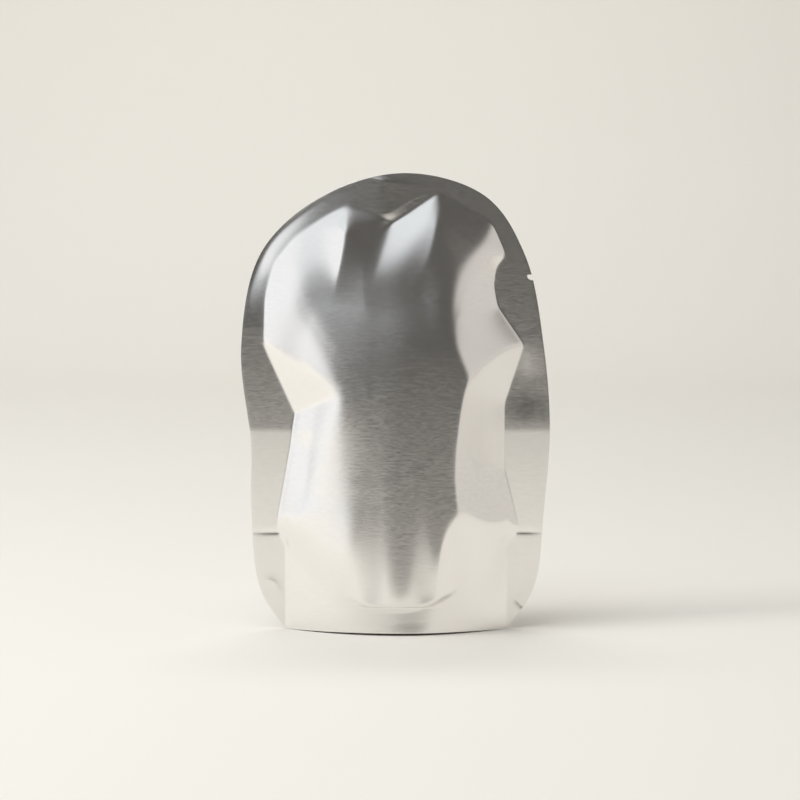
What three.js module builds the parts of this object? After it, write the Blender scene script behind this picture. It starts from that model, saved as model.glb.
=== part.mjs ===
// A shaped stand-up pouch of plain aluminium foil laminate.
//
// Two panels of film are welded together round a die-cut outline. A third web, the gusset, is folded
// between them at the bottom and opens into a lens-shaped foot, so that the filled pouch stands.
// The contents press the panels out. Where the welded border can't follow, the film is pinched into
// notches, and between the notches it reaches the border in sharp-ended lobes.
//
// Millimetres, +Z up, the front panel faces -Y. The origin is on the table under the middle of the pouch.
import * as THREE from 'three';

// ---- Driving dimensions ---------------------------------------------------------------------------
const POUCH_HEIGHT = 193;
const BORDER_THICKNESS = 0.5; // the laminates of the border, welded together
const BORDER_WIDTH = 8.8;
const BELLY_DEPTH = 23.9; // from the middle plane to the wide middle of a panel, carried down to the table
const FOOT_DEPTH = 18.5; // from the middle plane to the front edge of the foot
const FOOT_HALF_WIDTH = 47;
const SKIRT_HEIGHT = 9.5; // the welded skirt round the foot, in the middle of a panel
const GUSSET_HEIGHT = 40; // where the folded gusset ends at the side borders
const GUSSET_HALF_WIDTH = 50;
const GUSSET_SAG = 3; // how far the hanging gusset film stays above the table

// The round-bottomed tear notch in the right border.
const NOTCH = { height: 149.3, depth: 2.1, halfWidth: 1.2 };

// Die-cut outline, from the left foot over the top to the right foot.
const OUTLINE = [
  [-47, 0], [-57.6, 17], [-61.3, 54], [-61.1, 78], [-65.2, 120], [-56.6, 160], [-29.5, 184],
  [5, POUCH_HEIGHT], [38, 183], [54.5, 158], [62.3, 120], [64.9, 86], [62.5, 50], [58.6, 18], [47.5, 0],
];

// Corners of the inflated body of each panel, clockwise from the waist on the left of the picture.
// At a lobe the film reaches the border. At a notch it is pinched inwards. The slope is that of the
// wall which starts at the corner.
const FRONT_CORNERS = [
  { x: -56.4, z: 122.8, slope: 0.5 },
  { x: -56.2, z: 142, slope: 0.54 },
  { x: -48.5, z: 162.5, slope: 0.31 },
  { x: -20.5, z: 180.5, slope: 0.29 },
  { x: -1.7, z: 171.5, slope: 0.35, notch: true },
  { x: 17.8, z: 185, slope: 0.22 },
  { x: 40.3, z: 171.8, slope: 0.38 },
  { x: 46, z: 160, slope: 0.5 },
  { x: 42, z: 143, slope: 0.72, notch: true },
  { x: 53.5, z: 121, slope: 0.9 },
  { x: 45.6, z: 97, slope: 0.9, notch: true },
  { x: 45.4, z: 68, slope: 0.9, notch: true },
  { x: 51.6, z: 43.7, slope: 0.9 },
  { x: 50, z: 10, slope: 9 },
  { x: -47, z: 10, slope: 0.9 },
  { x: -50.4, z: 45.8, slope: 0.87 },
  { x: -42.5, z: 92.5, slope: 0.65, notch: true },
];
const BACK_CORNERS = [
  { x: -55.6, z: 112, slope: 0.7 },
  { x: -55.5, z: 140, slope: 0.55 },
  { x: -47, z: 162, slope: 0.3 },
  { x: -14, z: 177, slope: 0.26 },
  { x: 8, z: 168, slope: 0.33, notch: true },
  { x: 26, z: 178, slope: 0.28 },
  { x: 42, z: 166, slope: 0.5 },
  { x: 48, z: 150, slope: 0.65 },
  { x: 44, z: 128, slope: 0.9, notch: true },
  { x: 55, z: 104, slope: 0.9 },
  { x: 46, z: 76, slope: 0.9, notch: true },
  { x: 51.6, z: 43.7, slope: 0.9 },
  { x: 50, z: 10, slope: 9 },
  { x: -47, z: 10, slope: 0.9 },
  { x: -50.4, z: 45.8, slope: 0.9 },
  { x: -43.5, z: 82, slope: 0.75, notch: true },
];

// The wide middle of a panel leans back and is arched from side to side. Towards the top, where the
// pouch is empty, the panels taper together.
const LEAN = 0.09;
const LEAN_CURVE = -0.0002;
const ARCH = 0.0023;
const TAPER_DEPTH = 4.6; // at the height of the pouch's top
const TAPER_SLOPE = 0.18;

// Above the U-shaped weld the panel hangs over the foot, with a keel that bulges in the middle.
const HANG_SLOPE = 0.19;
const KEEL_X = 5.5;
const KEEL_BULGE = 4;
const KEEL_HALF_WIDTH = 19;
const KEEL_RISE = 6;
const SKIRT_FADE = [4, 20]; // heights above the weld between which the skirt's own form fades out

// The border is creased at the waist: it leans forward up to there and back above it. The bend fades
// out where the panels have these depths.
const WAIST_HEIGHT = 85;
const WAIST_SLOPE = 0.022;
const WAIST_FADE = [1, 8];

// How far the folds are rounded over: between two walls, between the walls and the wide middle, and
// between that and the hang above the weld.
const FOLD_SOFTNESS = 0.4;
const SHOULDER_SOFTNESS = 1.8;
const HANG_SOFTNESS = 1;
const TAPER_SOFTNESS = 2;

// Mesh density of a panel.
const COLUMNS = 44;
const ROWS = 54;
const CROWDING = 0.7; // how much closer the rows are at the top and at the table
const TOP_EDGE_DROP = 0.1; // the last row lies this far below the crown, where the outline has some width
const OUTLINE_STEPS = 600;

// ---- Small helpers --------------------------------------------------------------------------------
const { lerp, smoothstep } = THREE.MathUtils;

// Soft minimum and maximum: the corner between two values is rounded over `soft`.
function softMin(values, soft) {
  const least = Math.min(...values);
  const sum = values.reduce((total, value) => total + Math.exp((least - value) / soft), 0);
  return least - soft * Math.log(sum);
}

function softMax(values, soft) {
  return -softMin(values.map((value) => -value), soft);
}

// ---- Outline --------------------------------------------------------------------------------------
const anchors = OUTLINE.map(([x, z]) => new THREE.Vector3(x, 0, z));
const outline = new THREE.CatmullRomCurve3(anchors).getPoints(OUTLINE_STEPS);
const crown = outline.reduce((best, point, i) => (point.z > outline[best].z ? i : best), 0);
const leftEdge = outline.slice(0, crown + 1);
const rightEdge = outline.slice(crown).reverse();
const topHeight = outline[crown].z;

// x of an edge at height z. The points of an edge run upwards.
function edgeAt(edge, z) {
  const upper = Math.max(1, edge.findIndex((point) => point.z >= z));
  const share = (z - edge[upper - 1].z) / (edge[upper].z - edge[upper - 1].z);
  return lerp(edge[upper - 1].x, edge[upper].x, share);
}

// How far the tear notch cuts in at height z.
function notchDepth(z) {
  const across = (z - NOTCH.height) / NOTCH.halfWidth;
  return Math.abs(across) < 1 ? NOTCH.depth * Math.sqrt(1 - across ** 2) : 0;
}

// ---- The panels -----------------------------------------------------------------------------------
// Height of one wall over the middle plane: it rises evenly from the side between two corners.
function wallDepth(x, z, from, to) {
  const across = (to.z - from.z) * (x - from.x) - (to.x - from.x) * (z - from.z);
  return (from.slope * across) / Math.hypot(to.x - from.x, to.z - from.z);
}

// All walls together. Two walls meet in a ridge at a lobe and in a valley at a notch.
function wallsDepth(x, z, corners) {
  const groups = [];
  corners.forEach((corner, i) => {
    const depth = wallDepth(x, z, corner, corners[(i + 1) % corners.length]);
    if (corner.notch) groups.push(softMax([groups.pop(), depth], FOLD_SOFTNESS));
    else groups.push(depth);
  });
  return softMin(groups, FOLD_SOFTNESS);
}

// The wide middle of a panel: it leans back, tapers towards the top, and is slightly arched.
function middleDepth(x, z) {
  const full = BELLY_DEPTH - LEAN * z - LEAN_CURVE * z ** 2;
  const taper = TAPER_DEPTH + TAPER_SLOPE * (POUCH_HEIGHT - z);
  return softMin([full, taper], TAPER_SOFTNESS) - ARCH * (x - KEEL_X) ** 2;
}

// Height of the weld that joins the gusset to a panel: a wide U.
function weldHeight(x) {
  return lerp(SKIRT_HEIGHT, GUSSET_HEIGHT, (x / GUSSET_HALF_WIDTH) ** 2);
}

// Depth of a panel over the middle plane. Under the U-shaped weld it is the skirt, which stands
// straight up from the foot. Over the weld the contents push it out.
function panelDepth(x, z, corners) {
  const foot = FOOT_DEPTH * Math.max(0, 1 - (x / FOOT_HALF_WIDTH) ** 2);
  const above = z - weldHeight(x);
  const keel = KEEL_BULGE * Math.exp(-(((x - KEEL_X) / KEEL_HALF_WIDTH) ** 4));
  const hang = foot + HANG_SLOPE * above + keel * (1 - Math.exp(-Math.max(above, 0) / KEEL_RISE));
  const upper = softMin([wallsDepth(x, z, corners), middleDepth(x, z)], SHOULDER_SOFTNESS);
  const body = Math.max(0, softMin([upper, hang], HANG_SOFTNESS));
  const skirt = foot * (1 - smoothstep(above, ...SKIRT_FADE));
  return BORDER_THICKNESS / 2 + Math.max(body, skirt);
}

// y of a panel that is `depth` deep at height z. The border's own plane is bent like a tent at the waist.
function panelY(side, depth, z) {
  const bend = WAIST_SLOPE * (WAIST_HEIGHT - Math.abs(z - WAIST_HEIGHT));
  return side * depth - bend * (1 - smoothstep(depth, ...WAIST_FADE));
}

// ---- The closed surface ---------------------------------------------------------------------------
// Heights of the rows: closer together at the top and at the table, with some through the tear notch.
function rowHeights() {
  const rows = [];
  for (let j = 0; j < ROWS; j++) {
    const v = j / ROWS;
    rows.push(topHeight * lerp(v, 0.5 - 0.5 * Math.cos(Math.PI * v), CROWDING));
  }
  const cut = [-1, -0.6, 0, 0.6, 1].map((share) => NOTCH.height + share * NOTCH.halfWidth);
  const clear = rows.filter((z) => Math.abs(z - NOTCH.height) > NOTCH.halfWidth + 0.5);
  return [...clear, ...cut, topHeight - TOP_EDGE_DROP].sort((a, b) => a - b);
}

// x of the points of a row: three over each border, and the rest evenly between.
function columnPositions(z) {
  const left = edgeAt(leftEdge, z);
  const right = edgeAt(rightEdge, z) - notchDepth(z);
  const border = Math.min(BORDER_WIDTH, 0.1 * (right - left));
  const between = COLUMNS - 4;
  const inner = Array.from({ length: between + 1 }, (_, i) =>
    lerp(left + border, right - border, i / between));
  return [left, left + border / 2, ...inner, right - border / 2, right];
}

// Points of the gusset, from the front edge of the foot to the back edge: share of the way, share of
// the rise to the U-shaped weld, and share of the sag.
const GUSSET_LINES = [
  [0.035, 0, 0], [0.08, 1, 0], [0.2, 0.4, 0.6], [0.5, 0, 1], [0.8, 0.4, 0.6], [0.92, 1, 0], [0.965, 0, 0],
];

function pouchGeometry() {
  const heights = rowHeights();
  const last = COLUMNS;
  const positions = [];
  const triangles = [];
  const addPoint = (x, y, z) => positions.push(x, y, z) / 3 - 1;
  const yOf = (point) => positions[3 * point + 1];

  // Quads between two rows of points, counter-clockwise seen from outside.
  const addStrip = (lower, upper) => {
    for (let i = 0; i + 1 < lower.length; i++) {
      triangles.push(lower[i], lower[i + 1], upper[i + 1], lower[i], upper[i + 1], upper[i]);
    }
  };

  // One panel. Each cell is split along the diagonal that lies closer to the true surface.
  const addPanel = (corners, side) => {
    const rows = heights.map((z) => columnPositions(z).map((x, i) => {
      const depth = i === 0 || i === last ? BORDER_THICKNESS / 2 : panelDepth(x, z, corners);
      return addPoint(x, panelY(side, depth, z), z);
    }));
    for (let j = 0; j + 1 < rows.length; j++) {
      const z = (heights[j] + heights[j + 1]) / 2;
      const middles = columnPositions(z);
      for (let i = 0; i < last; i++) {
        const [a, b, c, d] = [rows[j][i], rows[j][i + 1], rows[j + 1][i + 1], rows[j + 1][i]];
        const truth = panelY(side, panelDepth((middles[i] + middles[i + 1]) / 2, z, corners), z);
        const rising = Math.abs((yOf(a) + yOf(c)) / 2 - truth) < Math.abs((yOf(b) + yOf(d)) / 2 - truth);
        const pair = rising ? [[a, b, c], [a, c, d]] : [[a, b, d], [b, c, d]];
        pair.forEach((corner) => triangles.push(...(side < 0 ? corner : corner.reverse())));
      }
    }
    return rows;
  };
  const front = addPanel(FRONT_CORNERS, -1);
  const back = addPanel(BACK_CORNERS, 1);

  // The cut edge of the film: up the left side, over the top and down the right side.
  const column = (rows, i) => rows.map((row) => row[i]).reverse();
  addStrip(column(back, 0), column(front, 0));
  addStrip(column(front, last), column(back, last));
  addStrip(front.at(-1), back.at(-1));

  // The gusset under the foot. It stays clear of the skirt's two points.
  const footX = columnPositions(0);
  const lines = GUSSET_LINES.map(([across, toWeld, toSag]) => footX.slice(1, -1).map((x, i) => {
    const frontY = yOf(front[0][i + 1]);
    const backY = yOf(back[0][i + 1]);
    const rise = Math.min(weldHeight(x) - 1, 0.4 * (backY - frontY));
    return addPoint(x, lerp(frontY, backY, across), rise * toWeld + Math.min(rise, GUSSET_SAG) * toSag);
  }));
  const web = [front[0].slice(1, -1), ...lines, back[0].slice(1, -1)];
  for (let k = 0; k + 1 < web.length; k++) addStrip(web[k + 1], web[k]);
  const leftEnd = [...web.map((line) => line[0]), back[0][0]];
  const rightEnd = [...web.map((line) => line.at(-1)), back[0][last]];
  for (let k = 0; k + 1 < leftEnd.length; k++) {
    triangles.push(front[0][0], leftEnd[k + 1], leftEnd[k]);
    triangles.push(front[0][last], rightEnd[k], rightEnd[k + 1]);
  }

  const geometry = new THREE.BufferGeometry();
  geometry.setAttribute('position', new THREE.Float32BufferAttribute(positions, 3));
  geometry.setIndex(triangles);
  geometry.computeVertexNormals();
  return geometry;
}

const foil = new THREE.MeshStandardMaterial({ color: 0xc4c5c5, metalness: 1, roughness: 0.3 });

const pouch = new THREE.Mesh(pouchGeometry(), foil);
pouch.name = 'pouch';

const group = new THREE.Group();
group.add(pouch);

export default group;
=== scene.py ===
# %% [markdown]
# # A shaped foil pouch
#
# This lesson builds a filled stand-up pouch of plain aluminium foil laminate. The real pouch is three
# pieces of film: a front panel, a back panel and a gusset folded between them at the bottom. Heat
# seals join them round a die-cut outline. Nothing is printed on it, so all of its look comes from
# three things: the shape of its folds, the brushed metal, and what the metal mirrors.
#
# The shapes are worked out in millimetres. Meshes, lights and the camera are in metres. The front
# panel faces -Y, +Z is up, and the origin is on the table.

import bpy
import numpy as np
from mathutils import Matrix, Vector


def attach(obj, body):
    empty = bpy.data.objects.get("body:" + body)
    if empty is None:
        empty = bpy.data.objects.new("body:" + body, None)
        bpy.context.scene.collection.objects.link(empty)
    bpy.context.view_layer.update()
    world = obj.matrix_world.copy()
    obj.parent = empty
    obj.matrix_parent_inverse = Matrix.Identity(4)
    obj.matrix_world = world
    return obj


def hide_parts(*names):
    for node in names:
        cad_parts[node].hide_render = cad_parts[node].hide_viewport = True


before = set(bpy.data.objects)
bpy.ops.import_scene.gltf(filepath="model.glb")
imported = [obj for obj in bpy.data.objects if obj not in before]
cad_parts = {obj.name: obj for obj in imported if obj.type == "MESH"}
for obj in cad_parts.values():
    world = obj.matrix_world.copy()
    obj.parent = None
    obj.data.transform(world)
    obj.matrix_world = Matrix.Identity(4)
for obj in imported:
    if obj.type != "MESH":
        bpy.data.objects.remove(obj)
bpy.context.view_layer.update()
MM = 0.001

# %% [markdown]
# ## A curve through a few points
#
# The outline and the folds are curves drawn through a few points. Blender's own Bezier curves could
# do this, but their handles have to be set one by one. A Catmull-Rom spline finds its slope at each
# point from the two neighbours. This one is "centripetal": its pace follows the square root of the
# distance between the points, so that it doesn't swing out where they are far apart.


# %% Spline
def catmull_rom(anchors, steps):
    """Points of the centripetal Catmull-Rom spline through the anchors: in each span, a cubic whose end
    slopes come from the neighbouring anchors, with times spaced by the square root of the distance.
    Straight blends of neighbours are blended in pairs, and the results once more, by their times."""
    ends = np.vstack([2 * anchors[:1] - anchors[1:2], anchors, 2 * anchors[-1:] - anchors[-2:-1]])
    times = np.concatenate([[0], np.cumsum(np.linalg.norm(np.diff(ends, axis=0), axis=1) ** 0.5)])
    asked = np.linspace(times[1], times[-2], steps)
    span = np.clip(np.searchsorted(times, asked, side="right") - 1, 1, len(anchors) - 1)
    p = [ends[span + k] for k in (-1, 0, 1, 2)]
    t = [times[span + k][:, None] for k in (-1, 0, 1, 2)]
    s = asked[:, None]
    a = [((t[k + 1] - s) * p[k] + (s - t[k]) * p[k + 1]) / (t[k + 1] - t[k]) for k in range(3)]
    b = [((t[k + 2] - s) * a[k] + (s - t[k]) * a[k + 1]) / (t[k + 2] - t[k]) for k in range(2)]
    return ((t[2] - s) * b[0] + (s - t[1]) * b[1]) / (t[2] - t[1])


print("a bend through three points:", catmull_rom(np.array([(0, 0), (1, 0), (1, 1)]), 5).round(2).tolist())

# %% [markdown]
# ## The die-cut outline
#
# The outline is cut by a steel rule bent to shape. It has a sloping shoulder on the left, a slight
# waist, and narrows towards the foot. Fifteen points and the spline give such a bent-rule curve. It
# is split at its highest point, the crown, so that each height has one left and one right edge.

# %% Outline
POUCH_HEIGHT = 193.0
OUTLINE_STEPS = 4000
OUTLINE = np.array([
    (-47, 0), (-57.6, 17), (-61.3, 54), (-61.1, 78), (-65.2, 120), (-56.6, 160), (-29.5, 184),
    (5, POUCH_HEIGHT), (38, 183), (54.5, 158), (62.3, 120), (64.9, 86), (62.5, 50), (58.6, 18), (47.5, 0),
])

outline = catmull_rom(OUTLINE, OUTLINE_STEPS)
crown = int(np.argmax(outline[:, 1]))
left_edge, right_edge = outline[: crown + 1], outline[crown:][::-1]
top_height = outline[crown, 1]
print(f"outline: {np.ptp(outline[:, 0]):.1f} mm wide, {top_height:.1f} mm high")

# %% [markdown]
# ## The tear notch
#
# A small round-bottomed cut in the right border lets the user start a tear. A Boolean cut would
# leave long thin triangles in the film, so the notch is a half ellipse taken off the right edge
# before any mesh is made.

# %% Tear notch
NOTCH_HEIGHT, NOTCH_DEPTH, NOTCH_HALF_WIDTH = 149.3, 2.1, 1.2


def edges_at(z):
    """x of the left and the right edge at heights z. The notch takes a half ellipse off the right."""
    left = np.interp(z, left_edge[:, 1], left_edge[:, 0])
    right = np.interp(z, right_edge[:, 1], right_edge[:, 0])
    across = np.clip((z - NOTCH_HEIGHT) / NOTCH_HALF_WIDTH, -1, 1)
    return left, right - NOTCH_DEPTH * np.sqrt(1 - across**2)


uncut = np.interp(NOTCH_HEIGHT, right_edge[:, 1], right_edge[:, 0])
print(f"tear notch: {uncut - edges_at(NOTCH_HEIGHT)[1]:.1f} mm deep, {2 * NOTCH_HALF_WIDTH} mm wide")

# %% [markdown]
# ## How the contents shape a panel
#
# Film can bend but not stretch. Pressed out from inside, a flat panel can't become a smooth dome:
# walls rise from the border, and where the border would have to shorten, the film is pinched into
# notches. Between two notches it reaches out to the border in a sharp-ended lobe. Inflating a flat
# mesh with the cloth simulation gives such folds too, but not in chosen places. So a panel is
# described by the corners of its body. A wall rises evenly from each side. Two walls meet in a
# ridge at a lobe (the lower of the two counts) and in a valley at a notch (the higher one counts).

# %% Corners of the front
# x, z, slope of the wall that starts here, whether the corner is a notch, and how fast the fold that
# starts here grows rounder with height. They run clockwise, seen from the front.
FRONT_CORNERS = [
    (-56.4, 122.8, 0.47, False, 0.03), (-56.3, 128, 0.44, False, 0.03), (-55.5, 141, 0.42, False, 0.1),
    (-51, 155.5, 0.42, False, 0.1), (-42.8, 166, 0.27, False, 0.1), (-20.5, 180.5, 0.26, False, 0.1),
    (-1.7, 171.5, 0.44, True, 0.6), (17.8, 185, 0.33, False, 0.25), (40.3, 171.8, 0.45, False, 0.05),
    (46, 159, 0.5, False, 0.2), (42, 154, 0.7, True, 0.25), (40.8, 146, 0.75, True, 0.25),
    (42.5, 137, 0.8, True, 0.2), (53.5, 121, 0.86, False, 0.02),
    (45.6, 97, 0.88, True, 0.1), (45.4, 68, 0.9, True, 0.1), (51.6, 43.7, 0.9, False, 0.04),
    (50, 10, 9.0, False, 0.04), (-47, 10, 0.9, False, 0.04), (-50.4, 45.8, 0.86, False, 0.04),
    (-42.5, 92.5, 0.7, True, 0.03),
]
print(f"front: {len(FRONT_CORNERS)} corners, {sum(corner[3] for corner in FRONT_CORNERS)} of them notches")

# %% Corners of the back
# The same for the back panel, also as seen from the front, through the pouch.
BACK_CORNERS = [
    (-55.6, 112, 0.7, False, 0.05), (-55.5, 140, 0.55, False, 0.1), (-47, 162, 0.3, False, 0.08),
    (-14, 177, 0.26, False, 0.05), (8, 168, 0.33, True, 0.2), (26, 178, 0.28, False, 0.05),
    (42, 166, 0.5, False, 0.08), (48, 150, 0.65, False, 0.1), (44, 128, 0.9, True, 0.1),
    (55, 104, 0.9, False, 0.04), (46, 76, 0.9, True, 0.06), (51.6, 43.7, 0.9, False, 0.04),
    (50, 10, 9.0, False, 0.04), (-47, 10, 0.9, False, 0.04), (-50.4, 45.8, 0.9, False, 0.04),
    (-43.5, 82, 0.75, True, 0.05),
]
print(f"back: {len(BACK_CORNERS)} corners, {sum(corner[3] for corner in BACK_CORNERS)} of them notches")

# %% [markdown]
# ## Soft minimum and maximum
#
# Where two walls meet, the film bends over a small radius. A Bevel modifier rounds only edges that
# the mesh has, and here the folds run across the grid. A soft minimum rounds them in the formula
# itself: well away from the fold it is the plain minimum, and at the fold it dips a little under it.


# %% Soft minimum and maximum
def soft_min(values, soft):
    """The smallest of several arrays, with the corners between them rounded over `soft`: the least,
    minus soft times the logarithm of the sum of exp((least - value) / soft)."""
    values = np.stack(np.broadcast_arrays(*values))
    least = values.min(axis=0)
    return least - soft * np.log(np.exp((least - values) / soft).sum(axis=0))


def soft_max(values, soft):
    """The largest of several arrays, rounded the same way."""
    return -soft_min([-value for value in values], soft)


gap = np.array([0.0, 1.0, 4.0])
print("soft minimum of 0 and", gap, "with softness 1:", soft_min([0 * gap, gap], 1.0).round(2))

# %% [markdown]
# ## Walls
#
# Each wall is a plane through one side of the body, and its height over the flat border is its slope
# times the distance from that side. The walls are joined twice. The first time gives the height with
# crisp folds, and the second lets each fold grow rounder with that height, as thick film does: it is
# creased hard at the weld and only bent farther out.

# %% Walls
FOLD_SOFTNESS = 0.2
# The height at which a fold stops growing rounder.
ROUNDEST_HEIGHT = 25


def join_walls(walls, corners, height):
    """Soft minimum of the walls, where each notch first joins its two walls by soft maximum. The
    softness of a fold is FOLD_SOFTNESS plus its own growth times the height."""
    groups = []
    for depth, (_, _, _, notch, growth) in zip(walls, corners):
        soft = FOLD_SOFTNESS + growth * height
        if notch:
            groups[-1] = (soft_max([groups[-1][0], depth], soft), groups[-1][1])
        else:
            groups.append((depth, soft))
    joined = groups[0][0]
    for depth, soft in groups[1:]:
        joined = soft_min([joined, depth], soft)
    return joined


def walls_depth(x, z, corners):
    """Height of the walls over the middle plane: slope times the distance from each side."""
    walls = []
    for (ax, az, slope, _, _), (bx, bz, _, _, _) in zip(corners, corners[1:] + corners[:1]):
        inwards = (bz - az) * (x - ax) - (bx - ax) * (z - az)
        walls.append(slope * inwards / np.hypot(bx - ax, bz - az))
    crisp = join_walls(walls, corners, 0)
    return join_walls(walls, corners, np.clip(crisp, 0, ROUNDEST_HEIGHT))


row = np.array([-50.0, -30.0, 0.0, 30.0])
print("walls at height 120, at x", row, ":", walls_depth(row, 0 * row + 120, FRONT_CORNERS).round(1), "mm")

# %% [markdown]
# ## Folds
#
# Between the corners the film has softer folds: two ridges that run down from the upper lobes, a
# valley in the left wall, and small creases at the foot. The border has its own: its rim bends back
# round the left shoulder, and lines cross it at the ends of the gusset. They could be sculpted, but
# then they could be neither read nor repeated. Here each is a curve with a height and two reaches,
# and it swells and dies away gently, with a smooth step, at both ends.


# %% Smooth step
def smoothstep(value, low, high):
    """0 below low, 1 above high, and between them 3 t^2 - 2 t^3 of the share t of the way."""
    t = np.clip((value - low) / (high - low), 0, 1)
    return t * t * (3 - 2 * t)


print("smooth step at 0, 1/4, 1/2, 3/4 and 1:", smoothstep(np.linspace(0, 1, 5), 0, 1).round(2))

# %% Lists of folds
# Points (x, z) of a fold, its height (negative for a valley), how far it reaches to the left and to
# the right of its direction, how round its back is, and the shares of its length over which it swells
# at the start and dies away at the end.
BODY_FOLDS = [
    # the ridge under the left upper lobe, and the one under the right upper lobe
    ([(-26, 138), (-23.2, 153), (-21.2, 167), (-20.3, 179)], 2.2, 5, 14, 0.8, 0.6, 0.3),
    ([(4, 138), (11.5, 152), (16.5, 168), (17.3, 183)], 1.0, 5, 12, 1.3, 0.7, 0.3),
    # the valley in the lower left wall
    ([(-40, 50), (-38.2, 68), (-37.6, 88)], -1.0, 4, 4, 1.5, 0.3, 0.3),
    # the small creases over the ends of the weld, on the left and on the right
    ([(-43, 31), (-39, 24.5), (-34, 22)], -0.6, 2, 1.6, 0.4, 0.4, 0.4),
    ([(46, 41), (44, 35), (40, 28)], -0.6, 1.6, 2, 0.4, 0.3, 0.5),
]
BORDER_FOLDS = [
    # the rim that bends back round the left shoulder
    ([(-64.5, 128), (-60.5, 148), (-54, 163), (-42, 175), (-26, 185), (-5, 192)], -4.0, 8, 9, 1.5, 0.33, 0.6),
    # the ridge from the top notch to the edge
    ([(-1.2, 171), (-5, 177), (-6, 184), (-5, 192)], 0.9, 8, 5, 2.5, 0.3, 0.1),
    # the valley along the right border
    ([(54.4, 88), (54.8, 104), (54.4, 124)], -0.6, 7, 9, 0.3, 0.4, 0.5),
    # the lines at the top of the gusset, on the left and on the right
    ([(-64, 41.6), (-56, 41.4), (-47, 41.6)], -0.22, 0.6, 0.6, 0.2, 0.6, 0.1),
    ([(47, 41.8), (56, 41.6), (65, 41.4)], -0.22, 0.6, 0.6, 0.2, 0.1, 0.6),
    # the bent corners of the foot, on the left and on the right
    ([(-58, 19.5), (-53.5, 20.6), (-50, 17), (-49, 8)], 0.2, 1.5, 2.5, 0.6, 0.4, 0.3),
    ([(55, 8.5), (53, 10.5), (51, 13), (52, 20)], -0.35, 1.2, 1.2, 0.3, 0.2, 0.4),
]
print(f"{len(BODY_FOLDS)} folds in the front of the body and {len(BORDER_FOLDS)} in the border")

# %% Height of a fold
FOLD_STEPS = 40


def fold_height(x, z, path, height, left_reach, right_reach, back, swell, fade):
    """A fold along a curved path. With d the distance to the path, its height dies away as
    exp(-(sqrt(d^2 + back^2) - back) / reach) on each side, and eases to nothing at both ends."""
    line = catmull_rom(np.array(path, dtype=float), FOLD_STEPS)
    steps = np.diff(line, axis=0)
    nearest = np.full(x.shape, np.inf)
    side, share = np.zeros(x.shape), np.zeros(x.shape)
    for k, (start, step) in enumerate(zip(line[:-1], steps)):
        along = np.clip(((x - start[0]) * step[0] + (z - start[1]) * step[1]) / (step @ step), 0, 1)
        dx, dz = x - start[0] - along * step[0], z - start[1] - along * step[1]
        distance = np.hypot(dx, dz)
        closer = distance < nearest
        nearest = np.where(closer, distance, nearest)
        side = np.where(closer, step[0] * dz - step[1] * dx, side)
        share = np.where(closer, (k + along) / len(steps), share)
    reach = np.where(side > 0, left_reach, right_reach)
    ease = smoothstep(share, 0, swell) * (1 - smoothstep(share, 1 - fade, 1))
    return height * ease * np.exp(-(np.hypot(nearest, back) - back) / reach)


row = np.array([-35.0, -22.0, -9.0])
ridge = fold_height(row, 0 * row + 162, *BODY_FOLDS[0])
print("left ridge at height 162, at x", row, ":", ridge.round(2), "mm")

# %% [markdown]
# ## The middle of a panel
#
# Inside its walls a panel is one wide face. It is fullest over the foot, where the contents lie, leans
# back above it, and closes towards the top seal, where there is only air. The face is also arched a
# little from side to side. The arch matters more than its size says: a flat mirror would show one
# even tone, and the arch draws the room out into soft upright bands.

# %% Middle of a panel
BELLY_DEPTH, LEAN, LEAN_CURVE = 23.9, 0.09, -0.0002
TAPER_DEPTH, TAPER_SLOPE, TAPER_SOFTNESS = 4.6, 0.18, 2.0
ARCH, ARCH_X = 0.0023, 5.5


def middle_depth(x, z):
    """The softly lower of two profiles, a parabola that leans back from the belly and a straight taper
    to the top, minus ARCH times the squared distance from the line x = ARCH_X."""
    full = BELLY_DEPTH - LEAN * z - LEAN_CURVE * z**2
    taper = TAPER_DEPTH + TAPER_SLOPE * (POUCH_HEIGHT - z)
    return soft_min([full, taper], TAPER_SOFTNESS) - ARCH * (x - ARCH_X) ** 2


rise = np.array([20.0, 100.0, 180.0])
print("middle at heights", rise, ":", middle_depth(0 * rise, rise).round(1), "mm deep")

# %% [markdown]
# ## The foot and its weld
#
# What makes the pouch stand is the gusset. Its film is welded to each panel along a wide U, and the
# panel's film under the U is the skirt that it stands on. The foot is a pointed oval on the table.
# The U and each half of the oval could be splines too, but a parabola has one size to set: how high
# or how deep it is.

# %% Foot and weld
FOOT_DEPTH, FOOT_HALF_WIDTH = 18.5, 47.0
SKIRT_HEIGHT, GUSSET_HEIGHT, GUSSET_HALF_WIDTH = 9.5, 40.0, 50.0


def foot_share(x):
    """1 in the middle of the foot, falling as a parabola to 0 at its two ends and beyond."""
    return np.maximum(0, 1 - (x / FOOT_HALF_WIDTH) ** 2)


def weld_height(x):
    """Height of the wide U along which the gusset is welded to a panel: a parabola in x."""
    return SKIRT_HEIGHT + (GUSSET_HEIGHT - SKIRT_HEIGHT) * (x / GUSSET_HALF_WIDTH) ** 2


rise_of_weld = weld_height(np.array([0, FOOT_HALF_WIDTH]))
print("weld: in the middle and at the foot's ends", rise_of_weld.round(1), "mm high")

# %% [markdown]
# ## The lip over the weld
#
# The contents sag, so the film over the weld doesn't rise from the foot in one slope. In the middle it
# steps forward in a lip and then hangs nearly plumb, and a rib parts it into two blobs. All of it is
# 2 to 5 mm deep, but a mirror turns what it shows by twice its own tilt, so these few millimetres
# decide where the film is dark. Each is a term of its own, to be turned up or down by itself.

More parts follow.
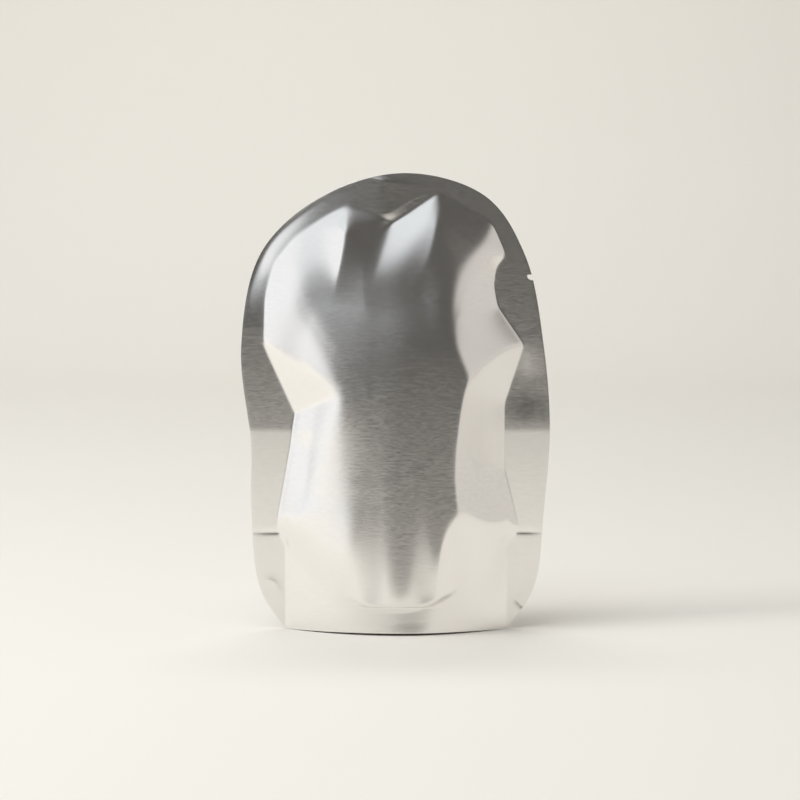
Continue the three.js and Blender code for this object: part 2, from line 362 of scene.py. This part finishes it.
# %% Lip over the weld
TOE_X, TOE_HALF_WIDTH = 0.8, 19.5
TOE_BULGE, TOE_RIGHT, TOE_RIGHT_REACH, TOE_RISE, TOE_TURN = 2.4, 4.8, 18, 0.9, 1.5
DIP_DEPTH, DIP_RIGHT, DIP_RISE, DIP_WIDTH = 0.35, 0.9, 3.0, 17.5
RIB_X, RIB_BULGE, RIB_LEFT, RIB_RIGHT, RIB_RISE = 2.0, 2.3, 7.0, 6.5, 3.0
HANG_SLOPE, HANG_SIDE, PLUMB_SLOPE = 0.17, 0.2, -0.03


def toe_share(x):
    """1 over the middle of the foot, where the film turns forward at the weld, and 0 at its sides: exp
    of minus the sixth power of the distance, in half widths."""
    return np.exp(-(((x - TOE_X) / TOE_HALF_WIDTH) ** 6))


def hang_depth(x, foot, above, toe):
    """Film above the weld. At the sides it swings out from the foot, more steeply towards the ends. In
    the middle it steps forward in a lip over the weld, higher on the right, and then hangs almost
    plumb, with a shallow dip, a half sine wave, over each half of the lip. A rib, a bell curve in x,
    parts it into two blobs. `toe` is 1 for a panel with all this and 0 for one without."""
    middle = toe * toe_share(x)
    up, right = np.maximum(above, 0), np.clip(x / TOE_RIGHT_REACH, 0, 1) ** 2
    turn = 1 - np.exp(-((up / TOE_RISE) ** TOE_TURN))
    lip = (TOE_BULGE + TOE_RIGHT * right) * turn
    halves = np.abs(np.sin(np.pi * (x - TOE_X) / DIP_WIDTH))
    dip = (DIP_DEPTH + DIP_RIGHT * right) * halves * (1 - np.exp(-up / DIP_RISE))
    rib_width = np.where(x < RIB_X, RIB_LEFT, RIB_RIGHT)
    rib = RIB_BULGE * np.exp(-(((x - RIB_X) / rib_width) ** 2)) * (1 - np.exp(-up / RIB_RISE))
    swing = (HANG_SLOPE + HANG_SIDE * (x / GUSSET_HALF_WIDTH) ** 4) * above
    plumb = np.where(above > 0, PLUMB_SLOPE, HANG_SLOPE) * above
    return foot + toe * rib + (1 - middle) * swing + middle * (lip - dip + plumb)


row = np.array([-30.0, -9.0, 2.0, 14.0])
hanging = hang_depth(row, 0 * row, 0 * row + 8, 1.0)
print("film 8 mm over the weld, at x", row, ":", hanging.round(1), "mm in front of the foot")

# %% [markdown]
# ## Where the walls meet the middle
#
# The edge between a wall and the middle face isn't equally sharp all round. It is crisp on the right,
# rounder under the top notch and low on the right, and roundest down the left, where the contents
# push hardest. One number can't say that, so the softness is itself a function of x and z.

# %% Rounding of the edges
MIDDLE_BLEND = 10
LEAST_ROUNDING = 0.5
TOP_ROUNDING, TOP_FROM, TOP_FULL, TOP_X, TOP_HALF_WIDTH = 1.6, 118, 145, 2, 16
LEFT_ROUNDING, LEFT_MORE, LEFT_LESS = 1.2, 0.9, 1.5
LEFT_MORE_FROM, LEFT_MORE_FULL, LEFT_LESS_FROM, LEFT_LESS_FULL = 25, 60, 65, 115
RIGHT_ROUNDING, RIGHT_FADES, RIGHT_GONE = 0.9, 55, 95


def left_share(x):
    """1 on the left of the panel and 0 on the right, with a smooth step round x = 0."""
    return smoothstep(-x, -MIDDLE_BLEND, MIDDLE_BLEND)


def edge_rounding(x, z):
    """LEAST_ROUNDING plus the largest of three amounts: one at the top, smooth in z and a flat-topped
    bell in x, one down the left, which grows and then shrinks with height, and one low on the right."""
    left = left_share(x)
    bell = np.exp(-(((x - TOP_X) / TOP_HALF_WIDTH) ** 4))
    at_top = TOP_ROUNDING * smoothstep(z, TOP_FROM, TOP_FULL) * bell
    more = LEFT_MORE * smoothstep(z, LEFT_MORE_FROM, LEFT_MORE_FULL)
    less = LEFT_LESS * smoothstep(z, LEFT_LESS_FROM, LEFT_LESS_FULL)
    at_left = left * (LEFT_ROUNDING + more - less)
    at_right = RIGHT_ROUNDING * (1 - left) * (1 - smoothstep(z, RIGHT_FADES, RIGHT_GONE))
    return LEAST_ROUNDING + np.maximum(at_top, np.maximum(at_left, at_right))


print("rounding on the left at heights", rise, ":", edge_rounding(0 * rise - 30, rise).round(2))

# %% [markdown]
# ## A whole panel
#
# Now the parts come together. The walls, the middle and the hanging film all hold the panel back, so
# the least of the three counts. The folds are added. The border and the skirt hold it up, so the
# largest counts there. Both are soft, and the panel is one height map over the flat outline.

# %% Panel depth
BORDER_THICKNESS, BORDER_SOFTNESS = 0.5, 0.15
HANG_SOFTNESS, HANG_SOFTER_LEFT = 0.3, 0.5
SKIRT_FADE_FROM, SKIRT_FADE_OVER = 4, 16.0
SKIRT_LEAN, SKIRT_LEAN_X, SKIRT_LEAN_WIDTH = 0.07, 6.0, 13
WELD_SOFTNESS, WELD_SOFTER, WELD_SOFTER_DEPTH, TOE_CRISPNESS = 0.1, 0.4, 5, 0.8


def panel_depth(x, z, corners, folds, toe):
    """Half the border's thickness plus the soft maximum of the body and the skirt. The body is the soft
    minimum of walls, middle and hanging film, plus the folds. The skirt is the foot's depth, spreads a
    little from the weld towards the table, and fades out above the weld."""
    foot = FOOT_DEPTH * foot_share(x)
    above = z - weld_height(x)
    body = soft_min([walls_depth(x, z, corners), middle_depth(x, z)], edge_rounding(x, z))
    body = soft_min([body, hang_depth(x, foot, above, toe)], HANG_SOFTNESS + HANG_SOFTER_LEFT * left_share(x))
    for fold in folds:
        body = body + fold_height(x, z, *fold)
    low = 1 - smoothstep(above, SKIRT_FADE_FROM, SKIRT_FADE_FROM + SKIRT_FADE_OVER)
    bell = np.exp(-(((x - SKIRT_LEAN_X) / SKIRT_LEAN_WIDTH) ** 2))
    skirt = foot * low + SKIRT_LEAN * np.maximum(-above, 0) * bell
    body = soft_max([0 * body, body], BORDER_SOFTNESS)
    softer = WELD_SOFTER * low * smoothstep(foot, 0, WELD_SOFTER_DEPTH) * (1 - TOE_CRISPNESS * toe_share(x))
    return BORDER_THICKNESS / 2 + soft_max([body, skirt], WELD_SOFTNESS + softer)


depths = panel_depth(0 * rise, rise, FRONT_CORNERS, BODY_FOLDS, 1.0)
print("front panel at heights", rise, ":", depths.round(1), "mm deep")

# %% [markdown]
# ## The bent border
#
# The border is flat film, but not quite plane: it is creased at the waist and leans forward below it
# and back above. In the picture the crease is the line where the border stops mirroring the table and
# starts mirroring the dark room. A darker material above the waist would look right from the front
# only. So the crease and the border's folds are shape: they move both panels together, as one sheet,
# and fade out where the body is thick.

# %% Bend of the border
WAIST_HEIGHT, WAIST_SLOPE, WAIST_SOFTNESS = 85.0, 0.022, 0.8
BEND_FADES, BEND_GONE = 1, 8


def border_bend(x, z, depth):
    """How far the border stands in front of the middle plane: a soft tent with its ridge at the waist,
    plus the folds of the border, all of it fading out between two depths of the panel."""
    tent = soft_min([WAIST_SLOPE * z, WAIST_SLOPE * (2 * WAIST_HEIGHT - z)], WAIST_SLOPE * WAIST_SOFTNESS)
    bend = tent + sum(fold_height(x, z, *fold) for fold in BORDER_FOLDS)
    return bend * (1 - smoothstep(depth, BEND_FADES, BEND_GONE))


bends = border_bend(0 * rise - 60, rise, 0 * rise)
print("left border at heights", rise, ":", bends.round(2), "mm in front of the middle plane")

# %% [markdown]
# ## A grid on each panel
#
# A surface over an outline can be a triangulated face, but a mirror shows every uneven triangle. A
# grid of quads stays even: rows are heights, and each row runs from the left edge to the right. The
# rows are closer together at the top and at the table, where the outline turns inwards, and extra rows
# follow the round bottom of the notch. The front has more columns, as it is what the camera sees.

# %% Rows
ROWS = 310
EVEN_SHARE, COSINE_SHARE = 0.3, 0.7
NOTCH_ROWS, NOTCH_CLEARANCE, TOP_GAP = 15, 0.2, 0.02


def row_heights():
    """Even steps mixed with cosine steps, and extra rows through the tear notch, spaced by a sine."""
    v = np.linspace(0, 1, ROWS, endpoint=False)
    rows = top_height * (EVEN_SHARE * v + COSINE_SHARE * (0.5 - 0.5 * np.cos(np.pi * v)))
    cut = NOTCH_HEIGHT + NOTCH_HALF_WIDTH * np.sin(np.linspace(-np.pi / 2, np.pi / 2, NOTCH_ROWS))
    clear = rows[np.abs(rows - NOTCH_HEIGHT) > NOTCH_HALF_WIDTH + NOTCH_CLEARANCE]
    return np.sort(np.concatenate([clear, cut, [top_height - TOP_GAP]]))


heights = row_heights()
print(f"{len(heights)} rows, {np.diff(heights).min():.2f} to {np.diff(heights).max():.2f} mm apart")

# %% Points of the panels
FRONT_COLUMNS, BACK_COLUMNS = 210, 80
LIFT_FADE = 6


def panel_points(columns, corners, folds, toe, lift, side):
    """x runs evenly between the edges, z up the rows, and y is side times the panel's depth, minus the
    bend. The foot of the panel is lifted off the table by a parabola, `lift` high in the middle."""
    left, right = edges_at(heights)
    share = np.linspace(0, 1, columns + 1)
    x = left[:, None] + (right - left)[:, None] * share
    z = np.repeat(heights[:, None], columns + 1, axis=1)
    depth = panel_depth(x, z, corners, folds, toe)
    depth[:, [0, -1]] = BORDER_THICKNESS / 2
    raised = lift * foot_share(x) * (1 - smoothstep(z, 0, LIFT_FADE))
    return np.stack([x, side * depth - border_bend(x, z, depth), z + raised], axis=-1)


front = panel_points(FRONT_COLUMNS, FRONT_CORNERS, BODY_FOLDS, 1.0, 1.0, -1)
back = panel_points(BACK_COLUMNS, BACK_CORNERS, [], 0.0, 0.0, 1)
print(f"front grid {front.shape[:2]}, back grid {back.shape[:2]}")
print(f"deepest point: {-front[..., 1].min():.1f} mm in front, {back[..., 1].max():.1f} mm behind")

# %% [markdown]
# ## The gusset
#
# Under the pouch the gusset film is folded up between the two skirts. From outside it is a low vault:
# from the front skirt it climbs steeply to its weld, sags between the welds under the contents, and
# comes down to the back skirt. It isn't seen, so thirteen lines from left to right are enough.

# %% Lines of the gusset
# Share of the way from the front of the foot to the back, share of the rise to the weld, and share of
# the sag. The second half mirrors the first.
GUSSET_HALF = [
    (0.015, 0, 0), (0.03, 0.9, 0), (0.05, 1, 0), (0.1, 0.8, 0.2), (0.2, 0.4, 0.6), (0.35, 0.1, 0.9),
]
MIRRORED_HALF = [(1 - across, up, down) for across, up, down in reversed(GUSSET_HALF)]
GUSSET_LINES = GUSSET_HALF + [(0.5, 0, 1)] + MIRRORED_HALF
GUSSET_SAG, UNDER_WELD, GUSSET_STEEPNESS = 3.0, 1, 0.4


def gusset_points():
    """Lines of the gusset film from left to right, each a share of the way from front to back. Its height
    is its shares of the rise and of the sag added up, and never under the foot's edge. The rise stays
    UNDER_WELD below the weld, and within a share of the foot's depth, so the vault ends flat."""
    x, front_y, foot_z = front[0].T
    foot_depth = np.interp(x, back[0][:, 0], back[0][:, 1]) - front_y
    rise = np.minimum(weld_height(x) - UNDER_WELD, GUSSET_STEEPNESS * foot_depth)
    sag = np.minimum(rise, GUSSET_SAG)
    return [
        np.stack([x, front_y + foot_depth * across, np.maximum(foot_z, rise * up + sag * down)], axis=-1)
        for across, up, down in GUSSET_LINES
    ]


gusset = [line[1:-1] for line in gusset_points()]
print(f"gusset: {len(gusset)} lines, up to {max(line[:, 2].max() for line in gusset):.1f} mm high")

# %% [markdown]
# ## One closed skin
#
# Solidify could give the film its thickness, but the pouch is shut and nothing of its inside shows. So
# front, back and gusset are joined into one closed skin, which bounds the pouch as a solid. Grids
# are joined by quads. Where two rows have different numbers of points, triangles zip them up.


# %% Strips of faces
def strip(lower, upper):
    """Quads between two equally long rows of point numbers, counter-clockwise seen from outside."""
    return np.stack([lower[:-1], lower[1:], upper[1:], upper[:-1]], axis=-1).reshape(-1, 4)


def grid_faces(numbers):
    """All the quads of a grid of point numbers whose rows run left to right and go up."""
    return np.concatenate([strip(lower, upper) for lower, upper in zip(numbers, numbers[1:])])


def zip_rows(lower, upper):
    """Triangles between two rows of different length. The steps of both rows are taken in the order of
    their share of the way, and each makes a triangle with the point reached on the other row."""
    steps, other_steps = len(lower) - 1, len(upper) - 1
    shares = np.concatenate([np.arange(steps) / steps, np.arange(other_steps) / other_steps])
    on_lower = np.argsort(shares, kind="stable") < steps
    i, j = np.cumsum(on_lower) - on_lower, np.cumsum(~on_lower) - ~on_lower
    reached = np.where(on_lower, lower[np.minimum(i + 1, steps)], upper[np.minimum(j + 1, other_steps)])
    return np.stack([lower[i], reached, upper[j]], axis=-1)


print("two steps zipped to three:", zip_rows(np.arange(3), 10 + np.arange(4)).tolist())

# %% Faces of the skin
front_ids = np.arange(front[..., 0].size).reshape(front.shape[:2])
back_ids = front_ids.size + np.arange(back[..., 0].size).reshape(back.shape[:2])
gusset_ids = front_ids.size + back_ids.size + np.arange(len(gusset) * len(gusset[0])).reshape(len(gusset), -1)
left_foot, right_foot = front_ids[0][[0, -1]]
web = [front_ids[0][1:-1], *gusset_ids]

quads = [
    grid_faces(front_ids),
    grid_faces(back_ids[:, ::-1]),
    strip(back_ids[::-1, 0], front_ids[::-1, 0]),
    strip(front_ids[::-1, -1], back_ids[::-1, -1]),
    *[strip(far, near) for near, far in zip(web, web[1:])],
]
triangles = [
    zip_rows(front_ids[-1], back_ids[-1]),
    zip_rows(back_ids[0], np.concatenate([[left_foot], gusset_ids[-1], [right_foot]])),
    *[[(left_foot, far[0], near[0]), (right_foot, near[-1], far[-1])] for near, far in zip(web, web[1:])],
]
faces = np.concatenate(quads).tolist() + np.concatenate(triangles).tolist()
print(f"{len(faces)} faces to join")

# %% Mesh of the skin
SHARP_ANGLE = 60

mesh = bpy.data.meshes.new("pouch_skin")
mesh.from_pydata(np.concatenate([front.reshape(-1, 3), back.reshape(-1, 3), *gusset]) * MM, [], faces)
mesh.validate()
mesh.update()
mesh.shade_smooth()
mesh.set_sharp_from_angle(angle=np.radians(SHARP_ANGLE))
pouch = bpy.data.objects.new("pouch_skin", mesh)
bpy.context.scene.collection.objects.link(pouch)
print(f"skin: {len(mesh.vertices)} points, {len(mesh.polygons)} faces")

# %% [markdown]
# ## Brushed foil
#
# The film is aluminium foil under a clear polymer. Rolling leaves fine lines that run from side to
# side, so the foil is rougher across them, up and down, and highlights are drawn out that way. An image
# texture of scratches could show the lines, but a noise needs no file and has no seam. So the
# shader is a metal whose tangent points up, with some anisotropy, and its lines are one very fine
# noise, stretched sideways, that changes three things a little: gloss, tone and height.

# %% Foil metal
FOIL_COLOR = (0.91, 0.887, 0.863)
ANISOTROPY = 0.55

foil = bpy.data.materials.new("brushed_foil")
foil.use_nodes = True
nodes, links = foil.node_tree.nodes, foil.node_tree.links
shader = nodes["Principled BSDF"]
shader.inputs["Metallic"].default_value = 1.0
shader.inputs["Anisotropic"].default_value = ANISOTROPY
tangent = nodes.new("ShaderNodeCombineXYZ")
tangent.inputs["Z"].default_value = 1.0
links.new(tangent.outputs["Vector"], shader.inputs["Tangent"])
print("foil: metal with anisotropy", ANISOTROPY)

# %% Rolling lines
LINES_PER_METRE = (380, 400, 1600)
LINE_DETAIL = 3.0

coordinates = nodes.new("ShaderNodeTexCoord")
stretch = nodes.new("ShaderNodeMapping")
stretch.inputs["Scale"].default_value = LINES_PER_METRE
links.new(coordinates.outputs["Object"], stretch.inputs["Vector"])
grain = nodes.new("ShaderNodeTexNoise")
grain.inputs["Scale"].default_value = 1.0
grain.inputs["Detail"].default_value = LINE_DETAIL
links.new(stretch.outputs["Vector"], grain.inputs["Vector"])
line_length, _, line_width = (1 / (count * MM) for count in LINES_PER_METRE)
print(f"rolling lines: about {line_width:.1f} mm wide and {line_length:.1f} mm long")

# %% What the lines change
TONE_RANGE, GLOSS_RANGE = (0.94, 1.06), (0.13, 0.27)
LINE_STRENGTH, LINE_HEIGHT = 0.2, 0.00004


def grain_range(low, high):
    """The noise, 0 to 1, stretched to run from low to high."""
    node = nodes.new("ShaderNodeMapRange")
    node.inputs["To Min"].default_value = low
    node.inputs["To Max"].default_value = high
    links.new(grain.outputs["Fac"], node.inputs["Value"])
    return node.outputs["Result"]


tint = nodes.new("ShaderNodeVectorMath")
tint.operation = "SCALE"
tint.inputs[0].default_value = FOIL_COLOR
links.new(grain_range(*TONE_RANGE), tint.inputs["Scale"])
links.new(tint.outputs["Vector"], shader.inputs["Base Color"])
links.new(grain_range(*GLOSS_RANGE), shader.inputs["Roughness"])
bump = nodes.new("ShaderNodeBump")
bump.inputs["Strength"].default_value = LINE_STRENGTH
bump.inputs["Distance"].default_value = LINE_HEIGHT
links.new(grain.outputs["Fac"], bump.inputs["Height"])
links.new(bump.outputs["Normal"], shader.inputs["Normal"])
print("roughness", GLOSS_RANGE, "and tone", TONE_RANGE)

# %% Dress the pouch
mesh.materials.append(foil)

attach(pouch, "root")
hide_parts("pouch")
print("pouch_skin replaces the CAD node pouch")

# %% [markdown]
# ## The sweep
#
# A metal pouch is a mirror: it shows the room. The pale table and backdrop are one sheet of paper, a
# sweep, which bends up behind the pouch so that no edge shows. A flat plane with a gradient behind it
# would look alike to the camera, but not in the foil. The table ends some way in front of the pouch,
# so that its lower part mirrors the table and its upper part the dark side of the room.

# %% Stage helpers
PAPER_ROUGHNESS, PAPER_SHINE = 0.9, 0.1


def paper(name, color):
    """A matte paper with hardly any shine."""
    material = bpy.data.materials.new(name)
    material.use_nodes = True
    bsdf = material.node_tree.nodes["Principled BSDF"]
    bsdf.inputs["Base Color"].default_value = (*color, 1)
    bsdf.inputs["Roughness"].default_value = PAPER_ROUGHNESS
    bsdf.inputs["Specular IOR Level"].default_value = PAPER_SHINE
    return material


def stage_grid(name, point_grid, material):
    """A stage surface from a grid of points."""
    rows, columns = point_grid.shape[:2]
    numbers = np.arange(rows * columns).reshape(rows, columns)
    stage_mesh = bpy.data.meshes.new(name)
    stage_mesh.from_pydata(point_grid.reshape(-1, 3), [], grid_faces(numbers).tolist())
    stage_mesh.shade_smooth()
    stage_mesh.materials.append(material)
    thing = bpy.data.objects.new(name, stage_mesh)
    bpy.context.scene.collection.objects.link(thing)
    print(f"stage: {name}, {len(stage_mesh.polygons)} faces")
    return thing


# %% Sweep
# The profile, in metres: from the table's front edge back along the floor, round a wide bend and up.
TABLE_FRONT, BEND_START, BEND_RADIUS, WALL_TOP = -0.87, 1.3, 0.6, 0.8
BEND_STEPS, SWEEP_HALF_WIDTH = 40, 2.5
PAPER_COLOR = (0.83, 0.80, 0.73)

turn = np.linspace(0, np.pi / 2, BEND_STEPS)
profile = np.concatenate([
    [(TABLE_FRONT, 0.0), (0.0, 0.0)],
    np.stack([BEND_START + BEND_RADIUS * np.sin(turn), BEND_RADIUS * (1 - np.cos(turn))], axis=-1),
    [(BEND_START + BEND_RADIUS, WALL_TOP)],
])
sweep = np.empty((len(profile), 3, 3))
sweep[..., 0] = np.linspace(-SWEEP_HALF_WIDTH, SWEEP_HALF_WIDTH, 3)
sweep[..., 1:] = profile[:, None]
stage_grid("sweep", sweep, paper("cream_paper", PAPER_COLOR))

# %% [markdown]
# ## Lamps
#
# Three softboxes light the paper: one overhead, a weak one from the side, and one for the backdrop. A
# sky would light it evenly, but then the floor would have no shadow and no falloff. The first two are
# hidden from the foil, because what it mirrors is set apart from them, with cards.

# %% Lamps
def area_light(name, place, target, size, power, color, spread=180):
    """A rectangular softbox at place, turned to face target. A grid in front narrows its spread."""
    data = bpy.data.lights.new(name, "AREA")
    data.shape = "RECTANGLE"
    data.size, data.size_y = size
    data.energy = power
    data.color = color
    data.spread = np.radians(spread)
    lamp = bpy.data.objects.new(name, data)
    lamp.location = place
    lamp.rotation_euler = (Vector(target) - Vector(place)).to_track_quat("-Z", "Y").to_euler()
    lamp.visible_camera = False
    bpy.context.scene.collection.objects.link(lamp)
    print(f"lamp: {name}, {power} W")
    return lamp


COOL, WHITE = (0.97, 0.98, 1.0), (1.0, 1.0, 1.0)
top = area_light(
    "top", place=(-0.35, -0.45, 1.4), target=(-0.15, -0.25, 0),
    size=(1.2, 1.2), power=12.5, color=COOL,
)
side = area_light(
    "side", place=(-2.2, -0.8, 1.5), target=(0, 0, 0.05),
    size=(0.8, 0.8), power=5.6, color=WHITE, spread=90,
)
top.visible_glossy = False
side.visible_glossy = False
area_light(
    "backdrop_light", place=(-0.2, 1.1, 2.0), target=(-0.25, 1.9, 0.6),
    size=(1.6, 0.8), power=23.5, color=COOL,
)

# %% [markdown]
# ## Cards for the foil to mirror
#
# Metal is photographed between large glowing cards, and the light tones of the foil are mostly
# theirs. A broad white one on the left makes the white walls, one above it the glints at the top, a
# faint one fills between them, and a dimmer, warmer one on the right makes the grey walls. Area
# lamps would do, but their edges are hard. A card is a plane that glows and fades to clear towards
# its edges, as a softbox does.

# %% Material of a card
SHORTEST_FADE = 1e-4


def add_node(tree, kind, **inputs):
    """A new node with its inputs set. An underscore stands for a space in an input's name."""
    node = tree.nodes.new(kind)
    for key, value in inputs.items():
        node.inputs[key.replace("_", " ")].default_value = value
    return node


def edge_fades(tree, half_x, half_y, soft):
    """0 at each edge of the card and 1 from its own share of the half size inwards, with a smooth step
    between them. The four fades are multiplied."""
    split = add_node(tree, "ShaderNodeSeparateXYZ")
    tree.links.new(add_node(tree, "ShaderNodeTexCoord").outputs["Object"], split.inputs[0])
    cover = None
    for axis, half, share in zip("XXYY", (-half_x, half_x, -half_y, half_y), soft):
        full = half * (1 - share) - SHORTEST_FADE * np.sign(half)
        fade = add_node(tree, "ShaderNodeMapRange", From_Min=half, From_Max=full)
        fade.interpolation_type = "SMOOTHSTEP"
        tree.links.new(split.outputs[axis], fade.inputs["Value"])
        if cover is None:
            cover = fade.outputs["Result"]
            continue
        product = add_node(tree, "ShaderNodeMath")
        product.operation = "MULTIPLY"
        tree.links.new(cover, product.inputs[0])
        tree.links.new(fade.outputs["Result"], product.inputs[1])
        cover = product.outputs[0]
    return cover


def card_material(name, half_x, half_y, strength, color, soft):
    """Clear at the edges and glowing in the middle: a mix of two shaders by the fades."""
    material = bpy.data.materials.new(name)
    material.use_nodes = True
    tree = material.node_tree
    tree.nodes.clear()
    mix = add_node(tree, "ShaderNodeMixShader")
    glow = add_node(tree, "ShaderNodeEmission", Color=(*color, 1), Strength=strength)
    tree.links.new(edge_fades(tree, half_x, half_y, soft), mix.inputs[0])
    tree.links.new(add_node(tree, "ShaderNodeBsdfTransparent").outputs[0], mix.inputs[1])
    tree.links.new(glow.outputs[0], mix.inputs[2])
    tree.links.new(mix.outputs[0], add_node(tree, "ShaderNodeOutputMaterial").inputs["Surface"])
    return material


# %% Cards
CARDS_CENTRE = Vector((0, 0, 0.1))


def light_card(name, azimuth, elevation, distance, spread, strength, color, soft):
    """A flat glowing card seen from the pouch in the given direction, in degrees. Azimuth 0 is the
    camera's side, and positive is to the camera's right. `spread` is its half angle across and upwards.
    `soft` says over which share of the half size each edge fades: first the edge at the larger azimuth,
    where the card's own X is least, then the one at the smaller azimuth, the bottom and the top. Over
    a share above 1 it fades on past the middle of the card."""
    turn, rise = np.radians(azimuth), np.radians(elevation)
    heading = Vector((np.sin(turn) * np.cos(rise), -np.cos(turn) * np.cos(rise), np.sin(rise)))
    half_x, half_y = (distance * np.tan(np.radians(angle)) for angle in spread)
    corners = np.array([[(x, y, 0) for x in (-half_x, half_x)] for y in (-half_y, half_y)])
    card = stage_grid(name, corners, card_material(name, half_x, half_y, strength, color, soft))
    card.location = CARDS_CENTRE + distance * heading
    card.rotation_euler = (-heading).to_track_quat("Z", "Y").to_euler()
    card.visible_camera = False
    card.visible_shadow = False
    return card


light_card(
    "key_card", azimuth=-85, elevation=22, distance=1.1, spread=(57, 27),
    strength=1.01, color=(0.95, 0.97, 1.0), soft=(0.33, 1.35, 0, 0.4),
)
light_card(
    "high_card", azimuth=-45, elevation=47, distance=1.4, spread=(40, 34),
    strength=0.92, color=(0.91, 0.96, 1.0), soft=(0.8, 1.0, 0.9, 0.8),
)
light_card(
    "fill_card", azimuth=-50, elevation=32, distance=1.8, spread=(50, 34),
    strength=0.3, color=(0.93, 0.965, 1.0), soft=(0.9, 1.0, 0.6, 0.9),
)
light_card(
    "right_card", azimuth=75, elevation=15, distance=1.1, spread=(52, 22),
    strength=0.66, color=(1.0, 0.965, 0.915), soft=(0.86, 0.3, 0, 0.6),
)

# %% [markdown]
# ## The dark room
#
# The greys in the middle of the pouch are the unlit room behind the camera. A modelled room would show
# its corners in the foil, so an even, dark and slightly warm world stands in for it.

# %% World
ROOM_COLOR = (0.1, 0.096, 0.09)

world = bpy.data.worlds.new("studio")
bpy.context.scene.world = world
world.use_nodes = True
world.node_tree.nodes["Background"].inputs["Color"].default_value = (*ROOM_COLOR, 1)
world.node_tree.nodes["Background"].inputs["Strength"].default_value = 1.0
print("room:", ROOM_COLOR)

# %% [markdown]
# ## The camera
#
# A product photo is taken from a step away with a long lens, here slightly from above. A short lens
# close up would show the near parts too large. The Standard view transform keeps the foil's whites
# white, where the default one would turn them grey.

# %% Camera
LENS, SENSOR_WIDTH, PICTURE_SIZE = 123, 36, 800
CAMERA_PLACE, CAMERA_AIM = Vector((0.0017, -1.15, 0.197)), Vector((0.0017, 0.0, 0.0975))

camera_data = bpy.data.cameras.new("camera")
camera_data.lens = LENS
camera_data.sensor_width = SENSOR_WIDTH
camera = bpy.data.objects.new("camera", camera_data)
camera.location = CAMERA_PLACE
camera.rotation_euler = (CAMERA_AIM - CAMERA_PLACE).to_track_quat("-Z", "Y").to_euler()
bpy.context.scene.collection.objects.link(camera)
bpy.context.scene.camera = camera
bpy.context.scene.view_settings.view_transform = "Standard"
distance = (CAMERA_AIM - CAMERA_PLACE).length
pixels_per_mm = PICTURE_SIZE * LENS / SENSOR_WIDTH / distance * MM
print(f"camera: {distance:.2f} m away, {pixels_per_mm:.2f} pixels per mm at the pouch")
